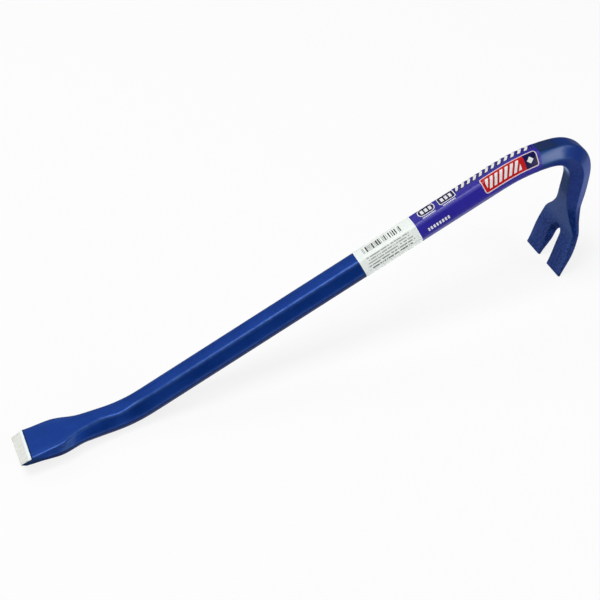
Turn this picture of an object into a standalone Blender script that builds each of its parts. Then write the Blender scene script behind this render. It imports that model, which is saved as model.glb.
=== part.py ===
"""A 300 mm forged wrecking bar with a slotted gooseneck claw and a flat chisel end.

The bar is drawn out of one length of hexagonal stock. Its centre line lies in the XZ plane: the chisel
end lifts gently, the shank runs straight, and the hook turns down and back under the shank.
It stands as it rests on a bench, on the two claw tips and the heel of the chisel, with +X from the
chisel to the hook, +Z up, and the origin on the bench under the middle of its box. Sizes are in metres.
"""

import math

import bmesh
import bpy
import numpy as np

# Hexagonal stock, enamel included
STOCK_FLATS = 0.0121
STOCK_CORNER_RADIUS = 0.0014

# Centre line, from the cutting edge of the chisel to the tips of the claw
BLADE_LENGTH = 0.0437
BLADE_BEND_ANGLE = math.radians(21.2)
BLADE_BEND_RADIUS = 0.0542
SHANK_LENGTH = 0.1944
CROOK_ANGLE = math.radians(24.9)
CROOK_RADIUS = 0.0697
HOOK_ANGLE = math.radians(89.4)
HOOK_RADIUS = 0.0168
CLAW_LENGTH = 0.0532
CLAW_CURL_ANGLE = math.radians(20.8)
BEND_EASING = 0.0033

# Chisel blade: the ground edge and its two bevels
EDGE_WIDTH = 0.0179
EDGE_THICKNESS = 0.0007
EDGE_BELOW_CENTRE = 0.0006
TOP_BEVEL_LENGTH = 0.0055
NOSE_BEVEL_LENGTH = 0.0022

# Forged sections as (distance from the end, width, thickness, corner inset of the six-sided section)
CHISEL_SECTIONS = (
    (0.0055, 0.0192, 0.0046, 0.0003),
    (0.0180, 0.0196, 0.0078, 0.0013),
    (0.0320, 0.0153, 0.0104, 0.0033),
    (0.0480, 0.0136, 0.0115, 0.0031),
)
CHISEL_FORGED_LENGTH = 0.0655
CLAW_SECTIONS = (
    (0.0000, 0.0302, 0.0012, 0.0002),
    (0.0139, 0.0298, 0.0040, 0.0004),
    (0.0238, 0.0279, 0.0041, 0.0010),
    (0.0298, 0.0199, 0.0064, 0.0016),
    (0.0367, 0.0136, 0.0092, 0.0020),
    (0.0456, 0.0124, 0.0119, 0.0027),
    (0.0595, 0.0126, 0.0123, 0.0034),
)
CLAW_FORGED_LENGTH = 0.0774

# Nail slot as (width at the mouth, width at the root, depth from the tips) on each face of the claw
SLOT_INNER_FACE = (0.0086, 0.0078, 0.0228)
SLOT_OUTER_FACE = (0.0058, 0.0048, 0.0185)
SLOT_PLATE_THICKNESS = 0.0040
SLOT_ROOT_ROUND = 0.0040
SLOT_OVERCUT = 0.0030

# Printed labels wrapped round the shank, placed from the start of the crook. They lie on the outline of
# the stock, and the steel is drawn in under them by their clearance.
LABEL_CLEARANCE = 0.0003
LABEL_THICKNESS = 0.0002
FILM_LENGTH = 0.0659
FILM_PAST_CROOK = 0.0205
PANEL_LENGTH = 0.0311
LABEL_GAP = 0.0003

# Fineness of the faceted solids
CORNER_POINTS = 4
FORGED_STEP = 0.0026
HOOK_STEP = 0.0021
SLOT_SIDE_STEPS = 8
SLOT_ROOT_STEPS = 10
CENTRE_LINE_STEP = 0.0001
SHARP_EDGE_ANGLE = math.radians(35)
LONGEST_FILLET_SHARE = 0.45
LEANING_ROUNDS = 12

# Places along the centre line, from the cutting edge
BLADE_BEND_LENGTH = BLADE_BEND_RADIUS * BLADE_BEND_ANGLE
CROOK_LENGTH = CROOK_RADIUS * CROOK_ANGLE
HOOK_LENGTH = HOOK_RADIUS * HOOK_ANGLE
BLADE_BEND_START = BLADE_LENGTH
SHANK_START = BLADE_BEND_START + BLADE_BEND_LENGTH
CROOK_START = SHANK_START + SHANK_LENGTH
HOOK_START = CROOK_START + CROOK_LENGTH
CLAW_START = HOOK_START + HOOK_LENGTH
BAR_LENGTH = CLAW_START + CLAW_LENGTH
FILM_END = CROOK_START + FILM_PAST_CROOK
FILM_START = FILM_END - FILM_LENGTH
PANEL_END = FILM_START - LABEL_GAP
PANEL_START = PANEL_END - PANEL_LENGTH
LABEL_SEAT_START = PANEL_START - LABEL_GAP
LABEL_SEAT_END = FILM_END + LABEL_GAP


def eased_ramp(distance):
    """Length past a point, starting smoothly over the easing length on each side of it."""
    inside = np.clip((distance + BEND_EASING) / (2 * BEND_EASING), 0.0, 1.0)
    return BEND_EASING * inside ** 2 + np.maximum(distance - BEND_EASING, 0.0)


def heading(place):
    """Slope of the centre line above +X. The straight shank heads along +X."""
    bends = (
        (BLADE_BEND_START, BLADE_BEND_LENGTH, BLADE_BEND_ANGLE),
        (CROOK_START, CROOK_LENGTH, -CROOK_ANGLE),
        (HOOK_START, HOOK_LENGTH, -HOOK_ANGLE),
        (CLAW_START, CLAW_LENGTH, -CLAW_CURL_ANGLE),
    )
    slope = np.full_like(place, -BLADE_BEND_ANGLE)
    for start, length, angle in bends:
        turned = eased_ramp(place - start) - eased_ramp(place - start - length)
        slope = slope + angle * turned / length
    return slope


class CentreLine:
    """The curved axis of the bar, sampled finely and read by interpolation."""

    def __init__(self):
        reach = BAR_LENGTH + 2 * SLOT_OVERCUT
        self.places = np.linspace(0.0, reach, 1 + round(reach / CENTRE_LINE_STEP))
        self.slopes = heading(self.places)
        step = self.places[1] - self.places[0]
        middle = (self.slopes[1:] + self.slopes[:-1]) / 2
        self.x = np.concatenate(([0.0], np.cumsum(np.cos(middle) * step)))
        self.z = np.concatenate(([0.0], np.cumsum(np.sin(middle) * step)))

    def point(self, place, across, outward):
        """Point at a place along the bar, moved off its axis in Y and towards the bar's upper side.

        It is in the bar's own frame, in which the shank lies along +X, before the bar is leaned.
        """
        slope = np.interp(place, self.places, self.slopes)
        x = np.interp(place, self.places, self.x) - outward * math.sin(slope)
        z = np.interp(place, self.places, self.z) + outward * math.cos(slope)
        return (float(x), float(across), float(z))


def smooth_curve(knots, values, place):
    """Monotone cubic through the knots, so that a width never overshoots its sections."""
    steps = np.diff(knots)
    slopes = np.diff(values) / steps
    tangents = np.zeros(len(knots))
    for i in range(1, len(knots) - 1):
        before, after = slopes[i - 1], slopes[i]
        if before * after > 0:
            weight_before = 2 * steps[i] + steps[i - 1]
            weight_after = steps[i] + 2 * steps[i - 1]
            tangents[i] = (weight_before + weight_after) / (weight_before / before + weight_after / after)
    place = min(max(place, knots[0]), knots[-1])
    i = min(int(np.searchsorted(knots, place, side="right")) - 1, len(knots) - 2)
    u = (place - knots[i]) / steps[i]
    start, end = values[i], values[i + 1]
    start_pull, end_pull = tangents[i] * steps[i], tangents[i + 1] * steps[i]
    return (
        start * (1 + 2 * u) * (1 - u) ** 2
        + start_pull * u * (1 - u) ** 2
        + end * u ** 2 * (3 - 2 * u)
        + end_pull * u ** 2 * (u - 1)
    )


def stock_section():
    """Width over the side corners, thickness and corner inset of the plain hexagonal stock."""
    width = 2 * STOCK_FLATS / math.sqrt(3)
    return (width, STOCK_FLATS, width / 4)


def forged_section(place):
    """Half width, corner inset and half thickness of the bar at a place along it."""
    stock = stock_section()
    rows = list(CHISEL_SECTIONS)
    rows.append((CHISEL_FORGED_LENGTH, *stock))
    rows.append((BAR_LENGTH - CLAW_FORGED_LENGTH, *stock))
    rows.extend((BAR_LENGTH - row[0], *row[1:]) for row in reversed(CLAW_SECTIONS))
    knots = np.array([row[0] for row in rows])
    width, thickness, inset = (
        smooth_curve(knots, np.array([row[column] for row in rows]), place) for column in (1, 2, 3)
    )
    return width / 2, inset, thickness / 2


def rounded_ring(half_width, inset, bottom, top, radius):
    """Six-sided section with rounded corners as (across, outward) points, counter-clockwise."""
    middle = (bottom + top) / 2
    corners = [
        (half_width, middle),
        (half_width - inset, top),
        (inset - half_width, top),
        (-half_width, middle),
        (inset - half_width, bottom),
        (half_width - inset, bottom),
    ]
    ring = []
    for i, corner in enumerate(corners):
        corner = np.array(corner)
        to_previous = np.array(corners[i - 1]) - corner
        to_next = np.array(corners[(i + 1) % 6]) - corner
        shortest = min(np.linalg.norm(to_previous), np.linalg.norm(to_next))
        to_previous = to_previous / np.linalg.norm(to_previous)
        to_next = to_next / np.linalg.norm(to_next)
        half_angle = math.acos(float(np.clip(to_previous @ to_next, -1.0, 1.0))) / 2
        fillet = min(radius, LONGEST_FILLET_SHARE * shortest * math.tan(half_angle))
        inward = (to_previous + to_next) / np.linalg.norm(to_previous + to_next)
        centre = corner + inward * fillet / math.sin(half_angle)
        swing = math.pi / 2 - half_angle
        outward_angle = math.atan2(-inward[1], -inward[0])
        for k in range(CORNER_POINTS):
            angle = outward_angle - swing + 2 * swing * k / (CORNER_POINTS - 1)
            ring.append((centre[0] + fillet * math.cos(angle), centre[1] + fillet * math.sin(angle)))
    return ring


def forged_ring(place):
    """The bar's section at a place, as a ring."""
    half_width, inset, half_thickness = forged_section(place)
    return rounded_ring(half_width, inset, -half_thickness, half_thickness, STOCK_CORNER_RADIUS)


def stock_ring(outset):
    """Section of the plain stock, moved outwards all round."""
    flats = STOCK_FLATS + 2 * outset
    width = 2 * flats / math.sqrt(3)
    return rounded_ring(width / 2, width / 4, -flats / 2, flats / 2, STOCK_CORNER_RADIUS + outset)


def loft(line, rings):
    """Closed body skinned over (place, ring) pairs, with flat ends."""
    mesh = bmesh.new()
    loops = []
    for place, ring in rings:
        loops.append([mesh.verts.new(line.point(place, across, outward)) for across, outward in ring])
    count = len(loops[0])
    for near, far in zip(loops, loops[1:]):
        for i in range(count):
            j = (i + 1) % count
            mesh.faces.new((near[i], near[j], far[j], far[i]))
    mesh.faces.new(list(reversed(loops[0])))
    mesh.faces.new(loops[-1])
    return mesh


def even_places(start, end, step):
    """Places from start to end, both included, about one step apart."""
    return list(np.linspace(start, end, max(2, 1 + math.ceil((end - start) / step))))


def blade_edge_rings():
    """Rings of the ground edge: a long bevel on the upper face and a short one under the nose."""
    half_width, inset, half_thickness = forged_section(TOP_BEVEL_LENGTH)
    edge_top = EDGE_THICKNESS / 2 - EDGE_BELOW_CENTRE
    edge_bottom = edge_top - EDGE_THICKNESS
    rings = []
    for place in (0.0, NOSE_BEVEL_LENGTH, TOP_BEVEL_LENGTH):
        along_bevel = place / TOP_BEVEL_LENGTH
        under_nose = min(place / NOSE_BEVEL_LENGTH, 1.0)
        width_here = EDGE_WIDTH / 2 + (half_width - EDGE_WIDTH / 2) * along_bevel
        top = edge_top + (half_thickness - edge_top) * along_bevel
        bottom = edge_bottom + (-half_thickness - edge_bottom) * under_nose
        rings.append((place, rounded_ring(width_here, inset, bottom, top, STOCK_CORNER_RADIUS)))
    return rings


def crook_places(start, end):
    """Places of the rings from start to end: only at the ends of the straight run, and close on the crook."""
    bend = CROOK_START - BEND_EASING
    if end <= bend:
        return [start, end]
    if start >= bend:
        return even_places(start, end, HOOK_STEP)
    return [start] + even_places(bend, end, HOOK_STEP)


def bar_rings():
    """Every ring of the forging, from the ground edge to the claw tips, with a shallow seat for the labels."""
    chisel = even_places(TOP_BEVEL_LENGTH, SHANK_START + 2 * BEND_EASING, FORGED_STEP)[1:]
    hook = even_places(LABEL_SEAT_END, BAR_LENGTH, HOOK_STEP)
    seat = crook_places(LABEL_SEAT_START, LABEL_SEAT_END)
    rings = blade_edge_rings()
    rings += [(place, forged_ring(place)) for place in chisel + [LABEL_SEAT_START]]
    rings += [(place, stock_ring(-LABEL_CLEARANCE)) for place in seat]
    rings += [(place, forged_ring(place)) for place in hook]
    return rings


def slot_outline(width_at_mouth, width_at_root, depth):
    """Outline of the nail slot on one face, as (distance from the tips, across) points."""
    straight = depth - SLOT_ROOT_ROUND
    side = []
    for k in range(SLOT_SIDE_STEPS + 1):
        share = k / SLOT_SIDE_STEPS
        distance = -SLOT_OVERCUT + (straight + SLOT_OVERCUT) * share
        taper = max(distance, 0.0) / straight
        side.append((distance, (width_at_mouth + (width_at_root - width_at_mouth) * taper) / 2))
    root = []
    for k in range(1, SLOT_ROOT_STEPS):
        angle = math.pi * k / SLOT_ROOT_STEPS
        root.append((straight + SLOT_ROOT_ROUND * math.sin(angle), width_at_root / 2 * math.cos(angle)))
    other_side = [(distance, -across) for distance, across in reversed(side)]
    return side + root + other_side


def slot_cutter(line):
    """Tapered cutter for the nail slot, wider on the inner face of the claw."""
    inner = slot_outline(*SLOT_INNER_FACE)
    outer = slot_outline(*SLOT_OUTER_FACE)
    mesh = bmesh.new()
    loops = []
    for level in (-SLOT_PLATE_THICKNESS, SLOT_PLATE_THICKNESS):
        share = 0.5 + level / SLOT_PLATE_THICKNESS
        loop = []
        for (inner_distance, inner_across), (outer_distance, outer_across) in zip(inner, outer):
            distance = inner_distance + (outer_distance - inner_distance) * share
            across = inner_across + (outer_across - inner_across) * share
            loop.append(mesh.verts.new(line.point(BAR_LENGTH - distance, across, level)))
        loops.append(loop)
    lower, upper = loops
    for i in range(len(lower)):
        j = (i + 1) % len(lower)
        mesh.faces.new((lower[i], lower[j], upper[j], upper[i]))
    mesh.faces.new(list(reversed(lower)))
    mesh.faces.new(upper)
    bmesh.ops.recalc_face_normals(mesh, faces=mesh.faces)
    return mesh


def label_sleeve(line, start, end):
    """Thin closed sleeve on the outline of the stock between two places, clear of the steel in the seat."""
    places = crook_places(start, end)
    mesh = bmesh.new()
    skins = []
    for outset in (0.0, LABEL_THICKNESS):
        ring = stock_ring(outset)
        skins.append([[mesh.verts.new(line.point(place, *point)) for point in ring] for place in places])
    inner, outer = skins
    count = len(inner[0])
    for i in range(count):
        j = (i + 1) % count
        for k in range(len(places) - 1):
            mesh.faces.new((outer[k][i], outer[k][j], outer[k + 1][j], outer[k + 1][i]))
            mesh.faces.new((inner[k][j], inner[k][i], inner[k + 1][i], inner[k + 1][j]))
        mesh.faces.new((outer[0][j], outer[0][i], inner[0][i], inner[0][j]))
        mesh.faces.new((outer[-1][i], outer[-1][j], inner[-1][j], inner[-1][i]))
    return mesh


def material(name, colour, roughness, metallic):
    """Principled material with one colour."""
    result = bpy.data.materials.new(name)
    result.use_nodes = True
    shader = result.node_tree.nodes["Principled BSDF"]
    shader.inputs["Base Color"].default_value = (*colour, 1.0)
    shader.inputs["Roughness"].default_value = roughness
    shader.inputs["Metallic"].default_value = metallic
    return result


def add_object(name, mesh, surface=None):
    """Object from a bmesh, shaded smooth apart from its sharp edges."""
    data = bpy.data.meshes.new(name)
    mesh.to_mesh(data)
    mesh.free()
    data.shade_smooth()
    data.set_sharp_from_angle(angle=SHARP_EDGE_ANGLE)
    if surface is not None:
        data.materials.append(surface)
    result = bpy.data.objects.new(name, data)
    bpy.context.collection.objects.link(result)
    return result


def cut(body, tool):
    """Take the tool's shape out of the body."""
    tool.hide_render = True
    tool.display_type = "WIRE"
    difference = body.modifiers.new("slot", "BOOLEAN")
    difference.operation = "DIFFERENCE"
    difference.solver = "EXACT"
    difference.object = tool


def resting_tilt(points):
    """Angle that brings the lowest points of the chisel half and of the claw half level."""
    middle = (points[:, 0].min() + points[:, 0].max()) / 2
    chisel_half = points[points[:, 0] < middle]
    claw_half = points[points[:, 0] >= middle]
    tilt = 0.0
    for _ in range(LEANING_ROUNDS):
        height_chisel = chisel_half[:, 0] * math.sin(tilt) + chisel_half[:, 2] * math.cos(tilt)
        height_claw = claw_half[:, 0] * math.sin(tilt) + claw_half[:, 2] * math.cos(tilt)
        heel = chisel_half[height_chisel.argmin()]
        toe = claw_half[height_claw.argmin()]
        tilt = math.atan2(heel[2] - toe[2], toe[0] - heel[0])
    return tilt


def resting_frame(points):
    """Empty that leans the bar to its resting pose, with the origin under the middle of its box."""
    tilt = resting_tilt(points)
    x = points[:, 0] * math.cos(tilt) - points[:, 2] * math.sin(tilt)
    z = points[:, 0] * math.sin(tilt) + points[:, 2] * math.cos(tilt)
    frame = bpy.data.objects.new("resting_frame", None)
    frame.rotation_euler = (0.0, -tilt, 0.0)
    frame.location = (-(x.min() + x.max()) / 2, 0.0, -z.min())
    bpy.context.collection.objects.link(frame)
    return frame


def build():
    for old in list(bpy.data.objects):
        bpy.data.objects.remove(old, do_unlink=True)

    enamel = material("blue_enamel", (0.010, 0.045, 0.250), 0.30, 0.0)
    film_print = material("indigo_film", (0.030, 0.025, 0.280), 0.35, 0.0)
    paper = material("white_panel", (0.700, 0.730, 0.690), 0.55, 0.0)

    line = CentreLine()
    rings = bar_rings()
    points = np.array([line.point(place, *point) for place, ring in rings for point in ring])
    frame = resting_frame(points)

    bar = add_object("forged_bar", loft(line, rings), enamel)
    slot = add_object("slot_cutter", slot_cutter(line))
    cut(bar, slot)

    film = add_object("film_label", label_sleeve(line, FILM_START, FILM_END), film_print)
    panel = add_object("barcode_label", label_sleeve(line, PANEL_START, PANEL_END), paper)

    for piece in (bar, slot, film, panel):
        piece.parent = frame


build()
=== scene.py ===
"""Looks of a 300 mm forged wrecking bar: blue enamel, a ground bevel, a printed film and a white panel.

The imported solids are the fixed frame. The bar is repeated on it with fine facets and a rounded slot, the
two labels are wrapped on it as thin printed strips, and it is lit on a pale floor. Lengths are in metres.
"""
import math

import bmesh
import bpy
import numpy as np
from mathutils import Euler, Matrix, Vector, noise
from mathutils.kdtree import KDTree


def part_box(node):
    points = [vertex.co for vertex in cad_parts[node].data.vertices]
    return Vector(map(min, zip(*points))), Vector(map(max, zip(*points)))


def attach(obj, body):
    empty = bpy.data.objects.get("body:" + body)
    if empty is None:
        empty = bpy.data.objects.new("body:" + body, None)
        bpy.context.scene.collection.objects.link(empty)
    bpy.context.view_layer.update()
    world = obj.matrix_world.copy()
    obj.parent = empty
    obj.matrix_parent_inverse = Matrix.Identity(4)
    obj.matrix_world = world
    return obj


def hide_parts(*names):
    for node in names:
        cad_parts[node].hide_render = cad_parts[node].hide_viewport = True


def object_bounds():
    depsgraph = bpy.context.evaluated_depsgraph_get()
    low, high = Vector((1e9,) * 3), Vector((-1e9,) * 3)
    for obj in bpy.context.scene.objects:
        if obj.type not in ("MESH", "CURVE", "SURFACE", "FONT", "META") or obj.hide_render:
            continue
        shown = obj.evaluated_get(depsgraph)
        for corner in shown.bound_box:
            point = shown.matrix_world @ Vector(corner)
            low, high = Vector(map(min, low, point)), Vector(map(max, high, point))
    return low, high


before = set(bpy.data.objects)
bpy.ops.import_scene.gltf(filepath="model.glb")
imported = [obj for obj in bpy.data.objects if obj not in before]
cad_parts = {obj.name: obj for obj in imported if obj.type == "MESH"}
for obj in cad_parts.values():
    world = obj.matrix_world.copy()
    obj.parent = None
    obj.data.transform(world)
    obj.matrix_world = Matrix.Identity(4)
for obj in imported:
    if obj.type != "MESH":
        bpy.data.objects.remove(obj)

cad_low, cad_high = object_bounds()

# Hexagonal stock, enamel included
STOCK_FLATS = 0.0121
STOCK_CORNER_RADIUS = 0.0014

# Centre line, from the cutting edge of the chisel to the tips of the claw
BLADE_LENGTH = 0.0437
BLADE_BEND_ANGLE = math.radians(21.2)
BLADE_BEND_RADIUS = 0.0542
SHANK_LENGTH = 0.1944
CROOK_ANGLE = math.radians(24.9)
CROOK_RADIUS = 0.0697
HOOK_ANGLE = math.radians(89.4)
HOOK_RADIUS = 0.0168
CLAW_LENGTH = 0.0532
CLAW_CURL_ANGLE = math.radians(20.8)
BEND_EASING = 0.0033
RESTING_LEAN = math.radians(17.5688)

# Chisel blade: the ground edge and its two bevels
EDGE_WIDTH = 0.0179
EDGE_THICKNESS = 0.0007
EDGE_BELOW_CENTRE = 0.0006
TOP_BEVEL_LENGTH = 0.0055
NOSE_BEVEL_LENGTH = 0.0022

# Forged sections as (distance from the end, width, thickness, corner inset of the six-sided section)
CHISEL_SECTIONS = (
    (0.0055, 0.0192, 0.0046, 0.0003),
    (0.0180, 0.0196, 0.0078, 0.0013),
    (0.0320, 0.0153, 0.0104, 0.0033),
    (0.0480, 0.0136, 0.0115, 0.0031),
)
CHISEL_FORGED_LENGTH = 0.0655
CLAW_SECTIONS = (
    (0.0000, 0.0302, 0.0012, 0.0002),
    (0.0139, 0.0298, 0.0040, 0.0004),
    (0.0238, 0.0279, 0.0041, 0.0010),
    (0.0298, 0.0199, 0.0064, 0.0016),
    (0.0367, 0.0136, 0.0092, 0.0020),
    (0.0456, 0.0124, 0.0119, 0.0027),
    (0.0595, 0.0126, 0.0123, 0.0034),
)
CLAW_FORGED_LENGTH = 0.0774

# Facing of each flat of the section, from the one at the far upper side: 1 is the bar's upper face,
# 0.5 and -0.5 are its upper and lower sides, and -1 is its under face
FLAT_FACINGS = (0.5, 1.0, 0.5, -0.5, -1.0, -0.5)
BELOW_UPPER_FACE = (0.6, 0.9)
BETWEEN_SIDES = (-0.2, 0.2)
ABOVE_UNDER_FACE = (-0.9, -0.6)

# Nail slot as (width at the mouth, width at the root, depth from the tips) on each face of the claw
SLOT_INNER_FACE = (0.0086, 0.0078, 0.0228)
SLOT_OUTER_FACE = (0.0058, 0.0048, 0.0185)
SLOT_PLATE_THICKNESS = 0.0040
SLOT_ROOT_ROUND = 0.0040
SLOT_OVERCUT = 0.0030
SLOT_RIM_RADIUS = 0.0005
SLOT_RIM_TURN = math.radians(62)
SLOT_RIM_OVERCUT = 0.0004
SLOT_RIM_LIMIT = 0.9

# Printed labels wrapped round the shank
FILM_LENGTH = 0.0659
FILM_PAST_CROOK = 0.0205
PANEL_LENGTH = 0.0311
LABEL_LIFT = 0.00003
LABEL_THICKNESS = 0.00007
LABEL_OVERLAP = 0.0022
LABEL_OVERLAP_RISE = 0.0007
LABEL_START_ROUND = -0.0183

# Fineness of the meshes
RING_STEP = 0.0010
EDGE_RING_STEP = 0.0004
CORNER_POINTS = 8
FLAT_POINTS = 5
SLOT_SIDE_STEPS = 40
SLOT_ROOT_STEPS = 28
SLOT_RIM_STEPS = 5
LABEL_ROUND_STEP = 0.00026
CENTRE_LINE_STEP = 0.0001
WELD_DISTANCE = 0.000004
SHARP_EDGE_ANGLE = math.radians(36)
LONGEST_FILLET_SHARE = 0.45

# Lengths and places that follow from the sizes above
BLADE_BEND_LENGTH = BLADE_BEND_RADIUS * BLADE_BEND_ANGLE
CROOK_LENGTH = CROOK_RADIUS * CROOK_ANGLE
HOOK_LENGTH = HOOK_RADIUS * HOOK_ANGLE
SHANK_START = BLADE_LENGTH + BLADE_BEND_LENGTH
CROOK_START = SHANK_START + SHANK_LENGTH
HOOK_START = CROOK_START + CROOK_LENGTH
CLAW_START = HOOK_START + HOOK_LENGTH
BAR_LENGTH = CLAW_START + CLAW_LENGTH
FILM_END = CROOK_START + FILM_PAST_CROOK
FILM_START = FILM_END - FILM_LENGTH
PANEL_START = FILM_START - PANEL_LENGTH
STOCK_FLAT_WIDTH = (STOCK_FLATS - 2 * STOCK_CORNER_RADIUS) / math.sqrt(3)
STOCK_CORNER_ARC = STOCK_CORNER_RADIUS * math.pi / 3
STOCK_SIDE = STOCK_FLAT_WIDTH + STOCK_CORNER_ARC

# Unevenness that the hammer leaves on the forged ends, and the places between which it comes and goes
FORGING_DEPTH = 0.00007
FORGING_PATCH = 0.0075
FORGING_FINER = 2.3
FORGING_FINER_SHARE = 0.4
FORGING_COMES_ON_CHISEL = (0.006, 0.012)
FORGING_GOES_ON_CHISEL = (0.055, 0.075)
FORGING_COMES_ON_HOOK = (FILM_END + 0.001, FILM_END + 0.008)
FORGING_GOES_ON_CLAW = (BAR_LENGTH - 0.004, BAR_LENGTH - 0.001)
RIDGE_WANDER = (
    (0.0000, 0.0000),
    (0.0120, 0.0000),
    (0.0180, 0.0005),
    (0.0287, 0.0006),
    (0.0350, 0.0000),
    (0.0405, -0.0006),
    (0.0500, 0.0005),
    (0.0590, -0.0005),
    (0.0700, 0.0000),
    (0.3500, 0.0000),
)

# Colours of the enamel, the ground steel and the labels
ENAMEL_DEEP = (0.005, 0.035, 0.220)
ENAMEL_BRIGHT = (0.008, 0.045, 0.265)
ENAMEL_OVER_SCALE = (0.014, 0.042, 0.180)
ENAMEL_FLECK = (0.036, 0.074, 0.340)
ENAMEL_FLECK_DEEP = (0.004, 0.014, 0.090)
# Thin enamel on ridges; on the bar it shows only on ridges facing up, as a painted highlight
ENAMEL_THIN_AND_HIGHLIGHT = (0.044, 0.100, 0.305)
# Painted shade on faces turned down
ENAMEL_PAINTED_SHADE = (0.007, 0.022, 0.090)
# Dark band along the paint's edge by the bevel, and painted shade on the nose's sides and under it
ENAMEL_EDGE_BAND_AND_NOSE_SHADE = (0.006, 0.022, 0.070)
# Painted sheen on the sides of the blade, lighter and greyer than the enamel
ENAMEL_PAINTED_SHEEN = (0.050, 0.110, 0.320)
ENAMEL_EDGE_TINT = (0.30, 0.40, 0.70)
STEEL_GREY = (0.76, 0.77, 0.72)
STEEL_BRIGHT = (0.92, 0.93, 0.88)
# Polished feather edge of the bevel by the paint, made near white as a painted highlight
STEEL_FEATHER_HIGHLIGHT = (0.93, 1.00, 1.00)
INDIGO = (0.024, 0.019, 0.280)
INDIGO_LIGHT = (0.033, 0.026, 0.330)
# Painted highlight along the film's upper ridge
INDIGO_RIDGE_HIGHLIGHT = (0.080, 0.076, 0.400)
NIGHT_BLUE = (0.008, 0.008, 0.070)
PRINT_WHITE = (0.80, 0.80, 0.80)
KEYLINE = (0.78, 0.62, 0.66)
RED = (0.56, 0.014, 0.016)
RED_DEEP = (0.46, 0.010, 0.012)
PAPER = (0.90, 0.95, 0.91)
PAPER_SHADE = (0.84, 0.90, 0.85)
PRINT_BLACK = (0.03, 0.03, 0.035)
PRINT_GREY = (0.30, 0.31, 0.32)

# Shares of flake, clear coat, bare metal, large and small patches and wear, and how rough the enamel is
ENAMEL_FLAKE = 0.45
HOOK_FLAKE = 0.15
ENAMEL_COAT = 0.10
HOOK_COAT = 0.38
CLAW_COAT = 0.22
FILM_COAT = 0.35
COAT_ROUGHNESS = 0.20
COAT_IOR = 1.5
ENAMEL_ROUGHNESS = 0.38
HOOK_ROUGHNESS = 0.46
ROUGHNESS_SPREAD = 0.15
STEEL_SHARE = 0.65
FEATHER_SHARE = 0.25
TONE_SHARES = (0.7, 0.3)
HOOK_WEAR = 0.7

# Where the bar's looks change, in lengths along it or, for the flecks, past the film. A range may end with
# what it gives at each end, if not 0 and 1
HOOK_COMES = (FILM_END, HOOK_START + 0.012)
FILM_ENDS = (FILM_END - 0.002, FILM_END + 0.003)
CLAW_COMES = (BAR_LENGTH - 0.032, BAR_LENGTH - 0.020)
# Where the painted sheen on the blade's sides comes and goes
BLADE_SHEEN_COMES = (0.0160, 0.0215)
BLADE_SHEEN_GOES = (0.0225, 0.0290)
# Where the painted shade on the nose goes
NOSE_SHADE_GOES = (0.005, 0.013, 0.8, 0.0)
GRIND_ENDS = (TOP_BEVEL_LENGTH - 0.00012, TOP_BEVEL_LENGTH)
# Band of the polished feather edge and its painted highlight on the bevel
GRIND_FEATHER_HIGHLIGHT = (TOP_BEVEL_LENGTH - 0.0017, TOP_BEVEL_LENGTH - 0.0008)
GRIND_RIM = (TOP_BEVEL_LENGTH + 0.0003, TOP_BEVEL_LENGTH + 0.0010, 0.8, 0.0)
FLECKS_COME = (0.012, 0.035)
FLECKS_GROW = (0.062, 0.070, 0.4, 1.0)

# How far from a ridge its wear and painted highlight reach, and how ragged, skewed, wandering and soft
# other borders are
NEAR_RIDGE = (0.0002, 0.0016)
GRIND_RAGGED = 0.00045
GRIND_SKEW = 0.026
PATCH_WANDER = 0.004
PATCH_BLUR = 0.007

# How far a face is turned up for a look to come or go, from -1 for down to 1 for up. Besides the bevel,
# these place the painted highlight on upward ridges, the painted sheen on the blade's sides and the painted
# shade on faces turned down and on the nose
BEVEL_UPWARD = (0.50, 0.62)
WEAR_AND_HIGHLIGHT_UPWARD = (-0.10, 0.50)
BLADE_SHEEN_UPWARD = (0.35, 0.75)
SHADE_BELOW_UPWARD = (-0.25, 0.25)
NOSE_SHADE_UPWARD = (0.1, 0.5)

# What noise gives, as a range of the noise and what the surface has at each end
ENAMEL_TONES = (0.35, 0.65)
SCALE_SHOWS = (0.3, 0.7, 0.85, 0.55)
WEAR_SHOWS = (0.30, 0.65, 0.35, 0.75)
# Patchiness of the painted sheen on the blade's sides
BLADE_SHEEN_SHOWS = (0.30, 0.60, 0.15, 0.75)
PATCH_COVER = (0.3, 0.7, 1.0, 0.8)
FLECKS_PALE = (0.50, 0.66, 0.0, 0.75)
FLECKS_DEEP = (0.34, 0.50, 0.65, 0.0)
STEEL_TONES = (0.3, 0.7)
STEEL_ROUGHNESS = (0.2, 0.8, 0.46, 0.62)
FILM_ROUGHNESS = (0.3, 0.7, 0.30, 0.40)
PANEL_ROUGHNESS = (0.3, 0.7, 0.38, 0.48)

# Painted light and shade on the hook's enamel, unlike from flat to flat: painted shade, painted sheen,
# painted highlights and a painted glint under the bend. Each is flat, from and to as lengths past the film,
# colour and coat
HOOK_LIGHT_AND_SHADE_PATCHES = (
    ("upper face", -0.0020, 0.0110, (0.013, 0.028, 0.085), 0.34),
    ("upper face", 0.0110, 0.0280, (0.018, 0.043, 0.190), 0.14),
    ("upper side", -0.0020, 0.0125, (0.019, 0.066, 0.230), 0.38),
    ("upper side", 0.0155, 0.0245, (0.010, 0.034, 0.200), 0.06),
    ("upper side", 0.0275, 0.0530, (0.040, 0.085, 0.340), 0.38),
    ("upper side", 0.0560, 0.0950, (0.012, 0.032, 0.150), 0.14),
    ("lower side", -0.0020, 0.0540, (0.015, 0.040, 0.210), 0.14),
    ("lower side", 0.0540, 0.0670, (0.004, 0.018, 0.115), 0.06),
    ("lower side", 0.0670, 0.0950, (0.010, 0.028, 0.130), 0.12),
    ("under face", 0.0215, 0.0330, (0.100, 0.200, 0.450), 0.55),
    ("under face", 0.0320, 0.0460, (0.011, 0.043, 0.140), 0.24),
    ("under face", 0.0500, 0.0670, (0.014, 0.061, 0.235), 0.36),
)

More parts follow.
